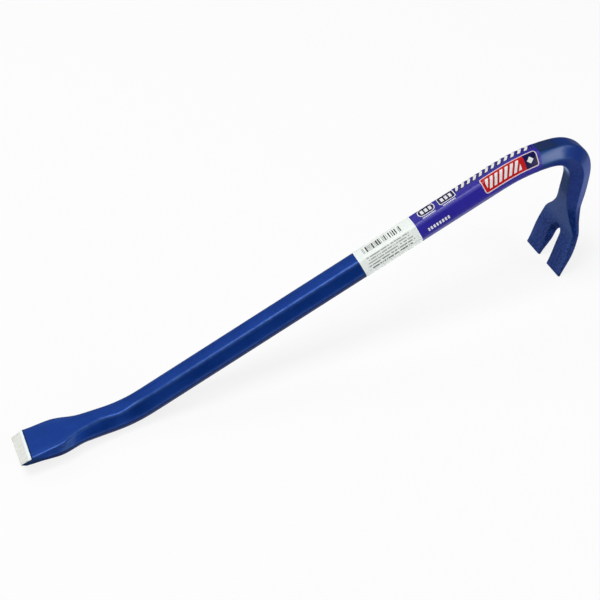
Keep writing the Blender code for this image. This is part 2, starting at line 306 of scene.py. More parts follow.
# Sizes of the patches of noise, heights of the relief, and the crown of a flat by half its width
TONE_PATCH = 0.014
SPECK_PATCH = 0.0011
WEAR_PATCH = 0.004
# Patch size of the painted sheen on the blade's sides
BLADE_SHEEN_PATCH = 0.003
FLECK_PATCH = 0.001
RAGGED_PATCH = 0.0006
STROKE_PATCH = 0.00016
STROKE_STRETCH = (0.04, 1.0, 0.04)
PEEL_PATCH = 0.0016
COARSE_PATCH = 0.0045
FILM_PATCH = 0.010
RED_PATCH = 0.004
FILM_HAZE_PATCH = 0.006
PANEL_PATCH = 0.008
PANEL_HAZE_PATCH = 0.004
RIPPLE_PATCH = 0.005
FIBRE_PATCH = 0.0004
PEEL_HEIGHT = 0.000010
COARSE_HEIGHT = 0.000012
COARSE_HEIGHT_ON_HOOK = 0.000030
STROKE_HEIGHT = 0.000012
ENAMEL_HEIGHT = 0.00006
RIPPLE_HEIGHT = 0.00002
FILM_FIBRE_HEIGHT = 0.0000015
PANEL_FIBRE_HEIGHT = 0.000003
FLAT_CROWN = math.tan(math.radians(6.0))
CROWN_BY_HALF_FLAT = (0.004, 0.008, FLAT_CROWN / 2, FLAT_CROWN / 8)
HOOK_CROWN = 0.2

# Prints in millimetres, x along the bar from the label's start and y round it from the near upper ridge.
# A row of stripes is (middle, half lengths, corner radius, pitch, half width of a stripe)
MILLIMETRES = 1000.0
PRINT_BLUR = 0.12
# Width of the painted highlight along the film's ridge
RIDGE_HIGHLIGHT_SPREAD = (0.5, 1.5, 0.7, 0.0)
CHEVRONS = ((44.5, 6.2), (19.6, 1.9), 0.3, 3.3, 0.78)
CHEVRON_SURROUND = ((20.4, 2.35), 0.5)
CHEVRON_SWEEP = 0.75
CHEVRON_BORDER = 0.5
FRAMED_SHAPES = (((8.3, 4.6), 2.4, 0.7), ((19.3, 4.6), 1.0, 0.1))
FRAME_HALF = (4.5, 2.5)
FRAME_LINE = 0.42
FRAME_STRIPES = ((3.2, 1.1), 2.2, 0.72)
FRAME_DASHES = ((3.4, 0.36), 0.1, 0.8, 0.27)
FRAME_DASHES_Y = 1.15
SMALL_BLOCKS = ((10.4, -5.0), (6.1, 0.75), 0.1, 1.55, 0.47)
BADGE = ((50.2, -1.7), (14.2, 4.1), 1.2)
BADGE_LINE = 0.45
BADGE_END = (57.95, 58.05)
BADGE_BARS = ((46.8, -1.7), (9.0, 2.5), 0.4, 2.6, 0.74)
BADGE_BAR_LEAN = -0.55
DIAMOND_MIDDLE = (60.7, -1.7)
DIAMOND_HALF = 1.7
PANEL_BLUR = 0.14
UPRIGHTS = ((14.4, 3.75), (10.4, 1.8), 0.1)
UPRIGHT_MODULE = 0.38
UPRIGHT_GAPS = 0.36
MARK_PITCH = 1.35
MARK_WIDTH = 0.46
MARK_HALF_HEIGHT = (0.15, 0.27)
MARK_GAPS = 0.25
MARK_INK = 0.85
FIRST_ROW_Y = -0.75
ROW_COUNT = 5
ROW_ENDS = (1.6, 29.2)
ROW_RAGGED = 3.0
DARKER_ROWS = (2.5, 3.5)

# Pale floor, and soft lamps as (name, aim, direction from the aim, sides, power)
FLOOR_HALF = 40.0
FLOOR_GREY = 0.90
FLOOR_ROUGHNESS = 0.9
FLOOR_WHITE_SHARE = 0.84
WORLD_GLOW = 0.01
MIDDLE = (0.0, 0.0, 0.03)
HOOK = (0.12, 0.0, 0.065)
LAMP_DISTANCE = 1.25
LAMPS = (
    ("overhead", MIDDLE, (-0.20, 0.05, 0.98), (0.55, 0.55), 9.8),
    ("near_left", MIDDLE, (-0.31, -0.33, 0.89), (0.90, 0.35), 3.0),
    ("near_right", HOOK, (0.52, -0.83, 0.20), (0.32, 0.30), 3.2),
    ("right", MIDDLE, (0.80, -0.50, 0.33), (0.55, 0.55), 2.8),
    ("far", MIDDLE, (-0.10, 0.66, 0.74), (1.00, 0.40), 2.2),
    ("far_left", MIDDLE, (-0.60, 0.63, 0.49), (0.40, 0.40), 1.3),
    ("far_right", MIDDLE, (0.45, 0.60, 0.66), (0.55, 0.55), 0.4),
)

# Camera fitted to the bar's outline in the photograph, its turn in degrees and its lens in millimetres
CAMERA_PLACE = (-0.142483, -0.391336, 0.460036)
CAMERA_TURN = (44.1230, 4.6305, -24.1146)
CAMERA_LENS = 76.33
CAMERA_SHIFT = (-0.00068, 0.00105)
CAMERA_CLIP = (0.01, 20.0)


def eased_ramp(distance):
    """Length past a point, starting smoothly over the easing length on each side of it."""
    inside = np.clip((distance + BEND_EASING) / (2 * BEND_EASING), 0.0, 1.0)
    return BEND_EASING * inside ** 2 + np.maximum(distance - BEND_EASING, 0.0)


def heading(place):
    """Slope of the centre line above +X. The straight shank heads along +X."""
    bends = (
        (BLADE_LENGTH, BLADE_BEND_LENGTH, BLADE_BEND_ANGLE),
        (CROOK_START, CROOK_LENGTH, -CROOK_ANGLE),
        (HOOK_START, HOOK_LENGTH, -HOOK_ANGLE),
        (CLAW_START, CLAW_LENGTH, -CLAW_CURL_ANGLE),
    )
    slope = np.full_like(place, -BLADE_BEND_ANGLE)
    for start, length, angle in bends:
        turned = eased_ramp(place - start) - eased_ramp(place - start - length)
        slope = slope + angle * turned / length
    return slope


class CentreLine:
    """The curved axis of the bar in its own frame, sampled finely."""

    def __init__(self):
        reach = BAR_LENGTH + 2 * SLOT_OVERCUT
        self.places = np.linspace(0.0, reach, 1 + round(reach / CENTRE_LINE_STEP))
        self.slopes = heading(self.places)
        step = self.places[1] - self.places[0]
        middle = (self.slopes[1:] + self.slopes[:-1]) / 2
        self.x = np.concatenate(([0.0], np.cumsum(np.cos(middle) * step)))
        self.z = np.concatenate(([0.0], np.cumsum(np.sin(middle) * step)))
        self.tree = KDTree(len(self.places))
        for i, (x, z) in enumerate(zip(self.x, self.z)):
            self.tree.insert((x, 0.0, z), i)
        self.tree.balance()

    def point(self, place, across, outward):
        """Point at a place along the bar, moved off its axis in Y and towards the bar's upper side."""
        slope = np.interp(place, self.places, self.slopes)
        x = np.interp(place, self.places, self.x) - outward * math.sin(slope)
        z = np.interp(place, self.places, self.z) + outward * math.cos(slope)
        return (float(x), float(across), float(z))

    def locate(self, point):
        """Place along the bar and outward distance of a point in the bar's own frame."""
        _, i, _ = self.tree.find((point[0], 0.0, point[2]))
        slope = self.slopes[i]
        dx, dz = point[0] - self.x[i], point[2] - self.z[i]
        place = self.places[i] + dx * math.cos(slope) + dz * math.sin(slope)
        return place, dz * math.cos(slope) - dx * math.sin(slope)


def smooth_curve(knots, values, place):
    """Monotone cubic through the knots, so that a width never overshoots its sections."""
    steps = np.diff(knots)
    slopes = np.diff(values) / steps
    tangents = np.zeros(len(knots))
    for i in range(1, len(knots) - 1):
        before, after = slopes[i - 1], slopes[i]
        if before * after > 0:
            weight_before = 2 * steps[i] + steps[i - 1]
            weight_after = steps[i] + 2 * steps[i - 1]
            tangents[i] = (weight_before + weight_after) / (weight_before / before + weight_after / after)
    place = min(max(place, knots[0]), knots[-1])
    i = min(int(np.searchsorted(knots, place, side="right")) - 1, len(knots) - 2)
    u = (place - knots[i]) / steps[i]
    start, end = values[i], values[i + 1]
    start_pull, end_pull = tangents[i] * steps[i], tangents[i + 1] * steps[i]
    return (
        start * (1 + 2 * u) * (1 - u) ** 2
        + start_pull * u * (1 - u) ** 2
        + end * u ** 2 * (3 - 2 * u)
        + end_pull * u ** 2 * (u - 1)
    )


def forged_section(place):
    """Half width, corner inset and half thickness of the bar at a place along it."""
    width = 2 * STOCK_FLATS / math.sqrt(3)
    stock = (width, STOCK_FLATS, width / 4)
    rows = list(CHISEL_SECTIONS)
    rows.append((CHISEL_FORGED_LENGTH, *stock))
    rows.append((BAR_LENGTH - CLAW_FORGED_LENGTH, *stock))
    rows.extend((BAR_LENGTH - row[0], *row[1:]) for row in reversed(CLAW_SECTIONS))
    knots = np.array([row[0] for row in rows])
    width, thickness, inset = (
        smooth_curve(knots, np.array([row[column] for row in rows]), place) for column in (1, 2, 3)
    )
    return width / 2, inset, thickness / 2


def ridge_wander(place):
    """How far the near upper ridge of the chisel's taper wanders towards the near side."""
    knots, moves = np.array(RIDGE_WANDER).T
    return smooth_curve(knots, moves, place)


def section_corners(half_width, inset, bottom, top, wander=0.0):
    """Sharp corners of the six-sided section, counter-clockwise from the far side."""
    middle = (bottom + top) / 2
    return [
        (half_width, middle),
        (half_width - inset, top),
        (inset - half_width - wander, top),
        (-half_width, middle),
        (inset - half_width, bottom),
        (half_width - inset, bottom),
    ]


def rounded_ring(half_width, inset, bottom, top, radius, wander=0.0):
    """Section with rounded corners and divided flats, as (across, outward) points."""
    corners = section_corners(half_width, inset, bottom, top, wander)
    arcs = []
    for i, corner in enumerate(corners):
        corner = np.array(corner)
        to_previous = np.array(corners[i - 1]) - corner
        to_next = np.array(corners[(i + 1) % 6]) - corner
        shortest = min(np.linalg.norm(to_previous), np.linalg.norm(to_next))
        to_previous = to_previous / np.linalg.norm(to_previous)
        to_next = to_next / np.linalg.norm(to_next)
        half_angle = math.acos(float(np.clip(to_previous @ to_next, -1.0, 1.0))) / 2
        fillet = min(radius, LONGEST_FILLET_SHARE * shortest * math.tan(half_angle))
        inward = (to_previous + to_next) / np.linalg.norm(to_previous + to_next)
        centre = corner + inward * fillet / math.sin(half_angle)
        swing = math.pi / 2 - half_angle
        outward_angle = math.atan2(-inward[1], -inward[0])
        angles = outward_angle + np.linspace(-swing, swing, CORNER_POINTS)
        arcs.append(centre + fillet * np.stack((np.cos(angles), np.sin(angles)), axis=1))
    ring = []
    for i, arc in enumerate(arcs):
        following = arcs[(i + 1) % 6][0]
        ring.extend(arc)
        for k in range(1, FLAT_POINTS + 1):
            ring.append(arc[-1] + (following - arc[-1]) * k / (FLAT_POINTS + 1))
    return ring


def even_places(start, end, step):
    """Places from start to end, both included, about one step apart."""
    return list(np.linspace(start, end, max(2, 1 + math.ceil((end - start) / step))))


def blade_edge_rings():
    """Rings of the ground edge: a long bevel on the upper face and a short one under the nose."""
    half_width, inset, half_thickness = forged_section(TOP_BEVEL_LENGTH)
    edge_top = EDGE_THICKNESS / 2 - EDGE_BELOW_CENTRE
    edge_bottom = edge_top - EDGE_THICKNESS
    places = even_places(0.0, NOSE_BEVEL_LENGTH, EDGE_RING_STEP)
    places += even_places(NOSE_BEVEL_LENGTH, TOP_BEVEL_LENGTH, EDGE_RING_STEP)[1:]
    rings = []
    for place in places:
        along_bevel = place / TOP_BEVEL_LENGTH
        under_nose = min(place / NOSE_BEVEL_LENGTH, 1.0)
        width_here = EDGE_WIDTH / 2 + (half_width - EDGE_WIDTH / 2) * along_bevel
        top = edge_top + (half_thickness - edge_top) * along_bevel
        bottom = edge_bottom + (-half_thickness - edge_bottom) * under_nose
        rings.append((place, rounded_ring(width_here, inset, bottom, top, STOCK_CORNER_RADIUS)))
    return rings


def bar_rings():
    """Every ring of the forging, from the ground edge to the claw tips."""
    rings = blade_edge_rings()
    for place in even_places(TOP_BEVEL_LENGTH, BAR_LENGTH, RING_STEP)[1:]:
        half_width, inset, half = forged_section(place)
        ring = rounded_ring(half_width, inset, -half, half, STOCK_CORNER_RADIUS, ridge_wander(place))
        rings.append((place, ring))
    return rings


def cap(mesh, loop):
    """Close a loop with a fan of triangles about its middle."""
    centre = mesh.verts.new(sum((vertex.co for vertex in loop), Vector()) / len(loop))
    for vertex, following in zip(loop, loop[1:] + loop[:1]):
        mesh.faces.new((vertex, following, centre))


def skin(mesh, loops):
    """Faces between each loop of vertices and the next."""
    for near, far in zip(loops, loops[1:]):
        for i in range(len(near)):
            j = (i + 1) % len(near)
            mesh.faces.new((near[i], near[j], far[j], far[i]))


def loft(line, rings):
    """Closed body skinned over (place, ring) pairs, with flat ends."""
    mesh = bmesh.new()
    loops = []
    for place, ring in rings:
        loops.append([mesh.verts.new(line.point(place, across, outward)) for across, outward in ring])
    skin(mesh, loops)
    cap(mesh, list(reversed(loops[0])))
    cap(mesh, loops[-1])
    return mesh


def smooth_step(value, low, high):
    """0 below low, 1 above high, and an S curve between them."""
    share = min(max((value - low) / (high - low), 0.0), 1.0)
    return share * share * (3 - 2 * share)


def hammer(mesh, line):
    """Sink the forged ends unevenly, and leave the ground edge, the shank and the claw tips as they are."""
    mesh.normal_update()
    moves = []
    for vertex in mesh.verts:
        place, _ = line.locate(vertex.co)
        chisel = smooth_step(place, *FORGING_COMES_ON_CHISEL)
        chisel *= 1 - smooth_step(place, *FORGING_GOES_ON_CHISEL)
        hook = smooth_step(place, *FORGING_COMES_ON_HOOK)
        hook *= 1 - smooth_step(place, *FORGING_GOES_ON_CLAW)
        patch = noise.noise(vertex.co / FORGING_PATCH)
        patch += FORGING_FINER_SHARE * noise.noise(vertex.co * FORGING_FINER / FORGING_PATCH)
        sunk = FORGING_DEPTH * (chisel + hook) * (0.5 + 0.5 * patch)
        moves.append(vertex.normal * -max(sunk, 0.0))
    for vertex, move in zip(mesh.verts, moves):
        vertex.co += move


def slot_outline(width_at_mouth, width_at_root, depth):
    """Outline of the nail slot on one face, as (distance from the tips, across) points."""
    straight = depth - SLOT_ROOT_ROUND
    side = []
    for k in range(SLOT_SIDE_STEPS + 1):
        share = k / SLOT_SIDE_STEPS
        distance = -SLOT_OVERCUT + (straight + SLOT_OVERCUT) * share
        taper = max(distance, 0.0) / straight
        side.append((distance, (width_at_mouth + (width_at_root - width_at_mouth) * taper) / 2))
    root = []
    for k in range(1, SLOT_ROOT_STEPS):
        angle = math.pi * k / SLOT_ROOT_STEPS
        root.append((straight + SLOT_ROOT_ROUND * math.sin(angle), width_at_root / 2 * math.cos(angle)))
    other_side = [(distance, -across) for distance, across in reversed(side)]
    return np.array(side + root + other_side)


def outline_normals(outline):
    """Unit normals of an open outline in its plane, pointing out of the slot."""
    along = np.gradient(outline, axis=0)
    normals = np.stack((-along[:, 1], along[:, 0]), axis=1)
    return normals / np.linalg.norm(normals, axis=1)[:, None]


def rim_levels():
    """(depth under the face, flare of the wall) pairs down a rounded rim, from above the face."""
    full_depth = SLOT_RIM_RADIUS * (1 - math.sin(SLOT_RIM_TURN))
    levels = []
    for k in range(SLOT_RIM_STEPS + 1):
        turn = SLOT_RIM_TURN * (1 - k / SLOT_RIM_STEPS)
        depth = SLOT_RIM_RADIUS * (1 - math.sin(turn)) - full_depth
        levels.append((depth, SLOT_RIM_RADIUS * (1 - math.cos(turn))))
    flare_outside = levels[0][1] + SLOT_RIM_OVERCUT * math.tan(SLOT_RIM_TURN)
    return [(-SLOT_RIM_OVERCUT, flare_outside)] + levels


def slot_cutter(line):
    """Cutter for the nail slot, wider on the inner face of the claw, with a rounded rim on both faces."""
    inner = slot_outline(*SLOT_INNER_FACE)
    outer = slot_outline(*SLOT_OUTER_FACE)
    normals = outline_normals((inner + outer) / 2)
    rim = rim_levels()
    layers = [(-1, *level) for level in rim]
    layers += [(1, *level) for level in reversed(rim)]
    mesh = bmesh.new()
    loops = []
    for side, depth, flare in layers:
        loop = []
        for k in range(len(inner)):
            distance, _ = (inner[k] + outer[k]) / 2
            half = forged_section(BAR_LENGTH - max(distance, 0.0))[2]
            level = side * (half - min(depth, half * SLOT_RIM_LIMIT))
            share = 0.5 + level / SLOT_PLATE_THICKNESS
            distance, across = inner[k] + (outer[k] - inner[k]) * share + normals[k] * flare
            loop.append(mesh.verts.new(line.point(BAR_LENGTH - distance, across, level)))
        loops.append(loop)
    skin(mesh, loops)
    mesh.faces.new(list(reversed(loops[0])))
    mesh.faces.new(loops[-1])
    bmesh.ops.recalc_face_normals(mesh, faces=mesh.faces)
    return mesh


def new_object(name, mesh):
    """Object from a bmesh."""
    data = bpy.data.meshes.new(name)
    mesh.to_mesh(data)
    mesh.free()
    result = bpy.data.objects.new(name, data)
    bpy.context.scene.collection.objects.link(result)
    return result


def cut_away(body, tool):
    """Take the tool's shape out of the body's mesh, weld the cut's crumbs, and remove the tool."""
    difference = body.modifiers.new("slot", "BOOLEAN")
    difference.operation = "DIFFERENCE"
    difference.solver = "EXACT"
    difference.object = tool
    bpy.context.view_layer.update()
    evaluated = body.evaluated_get(bpy.context.evaluated_depsgraph_get())
    mesh = bmesh.new()
    mesh.from_mesh(evaluated.data)
    bmesh.ops.remove_doubles(mesh, verts=mesh.verts, dist=WELD_DISTANCE)
    bmesh.ops.dissolve_degenerate(mesh, edges=mesh.edges, dist=WELD_DISTANCE)
    body.modifiers.clear()
    mesh.to_mesh(body.data)
    mesh.free()
    bpy.data.objects.remove(tool)


def set_values(data, name, values):
    """Store one number for each vertex under a name that the materials read."""
    attribute = data.attributes.new(name, "FLOAT", "POINT")
    attribute.data.foreach_set("value", np.asarray(values, dtype=np.float32))


def facet_position(here, corners):
    """Distance from the middle of the nearest flat of a section, half that flat's width, and its facing."""
    spans = np.roll(corners, -1, axis=0) - corners
    lengths = np.linalg.norm(spans, axis=1)
    shares = np.clip(((here - corners) * spans).sum(axis=1) / lengths ** 2, 0.0, 1.0)
    away = np.linalg.norm(corners + spans * shares[:, None] - here, axis=1)
    nearest = int(np.argmin(away))
    half = lengths[nearest] / 2
    return (2 * shares[nearest] - 1) * half, half, FLAT_FACINGS[nearest]


def mark_bar(data, line):
    """Store where each vertex is: along the bar, near a ridge, across its flat and off to the side."""
    rows = []
    for vertex in data.vertices:
        place, outward = line.locate(vertex.co)
        half_width, inset, half = forged_section(place)
        here = np.array((vertex.co.y, outward))
        corners = np.array(section_corners(half_width, inset, -half, half, ridge_wander(place)))
        nearest = np.linalg.norm(corners - here, axis=1).min()
        edge = 1 - smooth_step(nearest, *NEAR_RIDGE)
        rows.append((place, edge, *facet_position(here, corners), vertex.co.y))
    for name, values in zip(("along", "edge", "across", "half", "facing", "sideways"), zip(*rows)):
        set_values(data, name, values)


def stock_outline(round_place, outset):
    """Point of the plain stock's outline, by its length round the bar from the near upper ridge."""
    facet = math.floor((round_place + STOCK_CORNER_ARC / 2) / STOCK_SIDE)
    local = round_place + STOCK_CORNER_ARC / 2 - facet * STOCK_SIDE
    corner_angle = math.radians(120 - 60 * facet)
    centre = STOCK_FLAT_WIDTH * np.array((math.cos(corner_angle), math.sin(corner_angle)))
    turned = min(local, STOCK_CORNER_ARC) / STOCK_CORNER_RADIUS
    angle = corner_angle + math.pi / 6 - turned
    normal = np.array((math.cos(angle), math.sin(angle)))
    tangent = np.array((math.sin(angle), -math.cos(angle)))
    past_corner = tangent * max(local - STOCK_CORNER_ARC, 0.0)
    return centre + past_corner + normal * (STOCK_CORNER_RADIUS + outset)


def wrapped_label(name, line, start, end):
    """Thin strip wrapped once round the stock, with its end lapped over its start under the bar."""
    lapped_from = LABEL_START_ROUND + 6 * STOCK_SIDE
    round_places = even_places(LABEL_START_ROUND, lapped_from + LABEL_OVERLAP, LABEL_ROUND_STEP)
    places = even_places(start, end, RING_STEP)
    mesh = bmesh.new()
    skins = []
    for height in (0.0, LABEL_THICKNESS):
        rows = []
        for place in places:
            row = []
            for round_place in round_places:
                rise = smooth_step(round_place, lapped_from - LABEL_OVERLAP_RISE, lapped_from)
                outset = LABEL_LIFT + height + rise * (LABEL_THICKNESS + LABEL_LIFT)
                row.append(mesh.verts.new(line.point(place, *stock_outline(round_place, outset))))
            rows.append(row)
        skins.append(rows)
    inner, outer = skins
    last_place, last_round = len(places) - 1, len(round_places) - 1
    for i in range(last_place):
        for j in range(last_round):
            mesh.faces.new((outer[i][j], outer[i + 1][j], outer[i + 1][j + 1], outer[i][j + 1]))
            mesh.faces.new((inner[i][j + 1], inner[i + 1][j + 1], inner[i + 1][j], inner[i][j]))
        mesh.faces.new((inner[i][0], inner[i + 1][0], outer[i + 1][0], outer[i][0]))
        mesh.faces.new((outer[i][-1], outer[i + 1][-1], inner[i + 1][-1], inner[i][-1]))
    for j in range(last_round):
        mesh.faces.new((inner[0][j], outer[0][j], outer[0][j + 1], inner[0][j + 1]))
        mesh.faces.new((inner[-1][j + 1], outer[-1][j + 1], outer[-1][j], inner[-1][j]))
    bmesh.ops.recalc_face_normals(mesh, faces=mesh.faces)
    label = new_object(name, mesh)
    grid = [(place, round_place) for place in places for round_place in round_places] * 2
    set_values(label.data, "along", [place - start for place, _ in grid])
    set_values(label.data, "round", [round_place for _, round_place in grid])
    return label


def lean(pieces, data):
    """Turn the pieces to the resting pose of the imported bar, and keep them within its width."""
    points = np.array([vertex.co for vertex in data.vertices])
    x = points[:, 0] * math.cos(RESTING_LEAN) - points[:, 2] * math.sin(RESTING_LEAN)
    z = points[:, 0] * math.sin(RESTING_LEAN) + points[:, 2] * math.cos(RESTING_LEAN)
    low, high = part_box("forged_bar")
    matrix = Euler((0.0, -RESTING_LEAN, 0.0)).to_matrix().to_4x4()
    matrix.translation = ((low.x + high.x - x.min() - x.max()) / 2, 0.0, low.z - z.min())
    for piece in pieces:
        piece.data.transform(matrix)
        for vertex in piece.data.vertices:
            vertex.co.y = min(max(vertex.co.y, cad_low[1]), cad_high[1])


def shade(piece):
    """Smooth shading with sharp edges kept, weighted towards the flats."""
    piece.data.shade_smooth()
    piece.data.set_sharp_from_angle(angle=SHARP_EDGE_ANGLE)
    weighted = piece.modifiers.new("weighted", "WEIGHTED_NORMAL")
    weighted.keep_sharp = True


class Graph:
    """Short names for building a material's nodes. A number, tuple or socket can feed any input."""

    def __init__(self, name):
        self.material = bpy.data.materials.new(name)
        self.material.use_nodes = True
        self.nodes = self.material.node_tree.nodes
        self.links = self.material.node_tree.links
        self.shader = self.nodes["Principled BSDF"]

    def feed(self, socket, value):
        if isinstance(value, bpy.types.NodeSocket):
            self.links.new(value, socket)
        elif socket.type == "RGBA":
            socket.default_value = (*value, 1.0)
        else:
            socket.default_value = value

    def set(self, name, value):
        """Feed an input of the main shader."""
        self.feed(self.shader.inputs[name], value)

    def node(self, kind, *values, **settings):
        """New node with its settings, and with values for its first inputs."""
        node = self.nodes.new("ShaderNode" + kind)
        for name, setting in settings.items():
            setattr(node, name, setting)
        for socket, value in zip(node.inputs, values):
            self.feed(socket, value)
        return node

    def math(self, operation, *values, clamp=False):
        return self.node("Math", *values, operation=operation, use_clamp=clamp).outputs[0]

    def plus(self, first, *others):
        for other in others:
            first = self.math("ADD", first, other)
        return first

    def minus(self, first, second):
        return self.math("SUBTRACT", first, second)

    def times(self, first, *others):
        for other in others:
            first = self.math("MULTIPLY", first, other)
        return first

    def absolute(self, value):
        return self.math("ABSOLUTE", value)

    def vector(self, operation, *values):
        node = self.node("VectorMath", *values, operation=operation)
        return node.outputs["Value" if operation in ("LENGTH", "DOT_PRODUCT") else "Vector"]

    def combine(self, x, y, z=0.0):
        return self.node("CombineXYZ", x, y, z).outputs[0]

    def attribute(self, name):
        return self.node("Attribute", attribute_name=name).outputs["Fac"]

    def position(self):
        return self.node("TexCoord").outputs["Object"]

    def normal(self):
        return self.node("NewGeometry").outputs["Normal"]

    def noise(self, place, patch, detail=2.0, stretch=None):
        """Noise of about 0 to 1, with patches of that size in metres."""
        if stretch is not None:
            place = self.vector("MULTIPLY", place, stretch)
        node = self.node("TexNoise", place)
        node.inputs["Scale"].default_value = 1 / patch
        node.inputs["Detail"].default_value = detail
        return node.outputs["Fac"]

    def cell(self, place):
        """One random number for each whole-number cell."""
        node = self.node("TexWhiteNoise", self.vector("FLOOR", place), noise_dimensions="3D")
        return node.outputs["Value"]

    def ramp(self, value, low, high, low_gives=0.0, high_gives=1.0):
        """Smooth change from low_gives to high_gives."""
        ends = (low, high, low_gives, high_gives)
        return self.node("MapRange", value, *ends, interpolation_type="SMOOTHSTEP").outputs[0]

    def fall(self, value, low, high):
        """Smooth change from 1 to 0."""
        return self.ramp(value, low, high, 1.0, 0.0)

    def mix(self, share, first, second):
        """Colours or numbers, from first to second as share goes from 0 to 1."""
        colours = any(isinstance(x, tuple) or getattr(x, "type", "") == "RGBA" for x in (first, second))
        node = self.node("Mix", data_type="RGBA" if colours else "FLOAT")
        sockets = [socket for socket in node.inputs if socket.enabled]
        for socket, value in zip(sockets, (share, first, second)):
            self.feed(socket, value)
        return next(socket for socket in node.outputs if socket.enabled)

    def box(self, point, centre, half, radius):
        """Distance outside a box with rounded corners."""
        away = self.vector("ABSOLUTE", self.vector("SUBTRACT", point, (*centre, 0.0)))
        past = self.vector("SUBTRACT", away, (half[0] - radius, half[1] - radius, 0.0))
        past = self.vector("MAXIMUM", past, (0.0, 0.0, 0.0))
        return self.minus(self.vector("LENGTH", past), radius)

    def off_repeat(self, x, pitch):
        """Distance from the middle of the nearest repeat along x."""
        return self.absolute(self.math("WRAP", x, pitch / 2, -pitch / 2))

    def between(self, value, low, high, blur):
        """1 between low and high, with soft ends."""
        started = self.ramp(value, low - blur / 2, low + blur / 2)
        return self.times(started, self.fall(value, high - blur / 2, high + blur / 2))

    def inside(self, distance, blur=PRINT_BLUR):
        """1 where the distance is below nought, with a soft edge."""
        return self.fall(distance, -blur / 2, blur / 2)

    def stripes(self, colour, point, x, middle, half_row, radius, pitch, half):
        """White stripes at even steps of x, inside a box with rounded corners."""
        window = self.inside(self.box(point, middle, half_row, radius))
        stripe = self.inside(self.minus(self.off_repeat(x, pitch), half))
        return self.mix(self.times(stripe, window), colour, PRINT_WHITE)

    def crown(self, across, half):
        """Height of a slightly rounded flat, from the distance off its middle and half its width."""
        tilt = self.ramp(half, *CROWN_BY_HALF_FLAT)
        return self.times(self.math("DIVIDE", self.times(across, across), half), tilt, -1.0)

    def relief(self, height):
        """Bump the surface and its clear coat by a height in metres."""
        node = self.node("Bump")
        node.inputs["Distance"].default_value = 1.0
        self.feed(node.inputs["Height"], height)
        self.set("Normal", node.outputs["Normal"])
        self.set("Coat Normal", node.outputs["Normal"])


def hook_paint(g, place, past, tone, enamel, coat):
    """Colour and clear coat of the hook: painted shade, sheen, highlights and a glint, flat by flat, and
    pale and deep flecks.
    """
    facing = g.attribute("facing")
    flats = {
        "upper face": g.ramp(facing, *BELOW_UPPER_FACE),
        "upper side": g.times(g.ramp(facing, *BETWEEN_SIDES), g.fall(facing, *BELOW_UPPER_FACE)),
        "lower side": g.times(g.ramp(facing, *ABOVE_UNDER_FACE), g.fall(facing, *BETWEEN_SIDES)),
        "under face": g.fall(facing, *ABOVE_UNDER_FACE),
    }
    cover = g.ramp(tone, *PATCH_COVER)
    # Painted light and shade on each flat of the hook
    for flat, start, end, colour, coat_here in HOOK_LIGHT_AND_SHADE_PATCHES:
        share = g.times(flats[flat], g.between(past, start, end, PATCH_BLUR))
        coat = g.mix(share, coat, coat_here)
        enamel = g.mix(g.times(share, cover), enamel, colour)
    fleck = g.noise(place, FLECK_PATCH, 3.0)
    strength = g.times(g.ramp(past, *FLECKS_COME), g.ramp(past, *FLECKS_GROW))
    pale = g.times(g.ramp(fleck, *FLECKS_PALE), strength)
    deep = g.times(g.ramp(fleck, *FLECKS_DEEP), strength)
    enamel = g.mix(deep, g.mix(pale, enamel, ENAMEL_FLECK), ENAMEL_FLECK_DEEP)
    return enamel, coat


def enamel_paint(g, place, along, upward, grind_line, tone, hook, past_film):
    """Colour and clear coat of the enamel: thin and with a painted highlight on ridges, a painted sheen on
    the blade's sides, painted shade on faces turned down and on the nose, and the hook's painted light and
    shade.
    """
    enamel = g.mix(g.ramp(tone, *ENAMEL_TONES), ENAMEL_DEEP, ENAMEL_BRIGHT)
    enamel = g.mix(g.times(hook, g.ramp(tone, *SCALE_SHOWS)), enamel, ENAMEL_OVER_SCALE)

    # Thin enamel along the ridges: on the bar only where they face up, so it is also a painted highlight;
    # on the hook on every ridge
    worn = g.ramp(g.noise(place, WEAR_PATCH, 3.0), *WEAR_SHOWS)
    worn_and_lit_upward = g.mix(hook, g.ramp(upward, *WEAR_AND_HIGHLIGHT_UPWARD), HOOK_WEAR)
    enamel = g.mix(g.times(g.attribute("edge"), worn, worn_and_lit_upward), enamel, ENAMEL_THIN_AND_HIGHLIGHT)

    # Painted sheen on the blade's sides behind the bevel, on faces not turned up
    blade_sheen = g.times(g.ramp(along, *BLADE_SHEEN_COMES), g.fall(along, *BLADE_SHEEN_GOES))
    blade_sheen = g.times(blade_sheen, g.fall(upward, *BLADE_SHEEN_UPWARD))
    blade_sheen = g.times(blade_sheen, g.ramp(g.noise(place, BLADE_SHEEN_PATCH, 3.0), *BLADE_SHEEN_SHOWS))
    enamel = g.mix(blade_sheen, enamel, ENAMEL_PAINTED_SHEEN)

    coat = g.mix(past_film, ENAMEL_COAT, g.mix(g.ramp(along, *CLAW_COMES), HOOK_COAT, CLAW_COAT))
    wander = g.times(g.minus(g.noise(place, WEAR_PATCH, 2.0), 0.5), PATCH_WANDER)
    past = g.plus(g.minus(along, FILM_END), wander)
    # The hook's painted light and shade, flat by flat
    enamel, coat = hook_paint(g, place, past, tone, enamel, coat)

    # Painted shade on the faces turned down, short of the hook
    shade_below = g.times(g.fall(upward, *SHADE_BELOW_UPWARD), g.minus(1.0, past_film))
    enamel = g.mix(shade_below, enamel, ENAMEL_PAINTED_SHADE)
    # Dark band along the paint's edge by the bevel, and painted shade on the nose's faces that are not
    # turned up
    rim = g.ramp(grind_line, *GRIND_RIM)
    nose = g.times(g.ramp(along, *NOSE_SHADE_GOES), g.fall(upward, *NOSE_SHADE_UPWARD))
    return g.mix(g.math("MAXIMUM", rim, nose), enamel, ENAMEL_EDGE_BAND_AND_NOSE_SHADE), coat


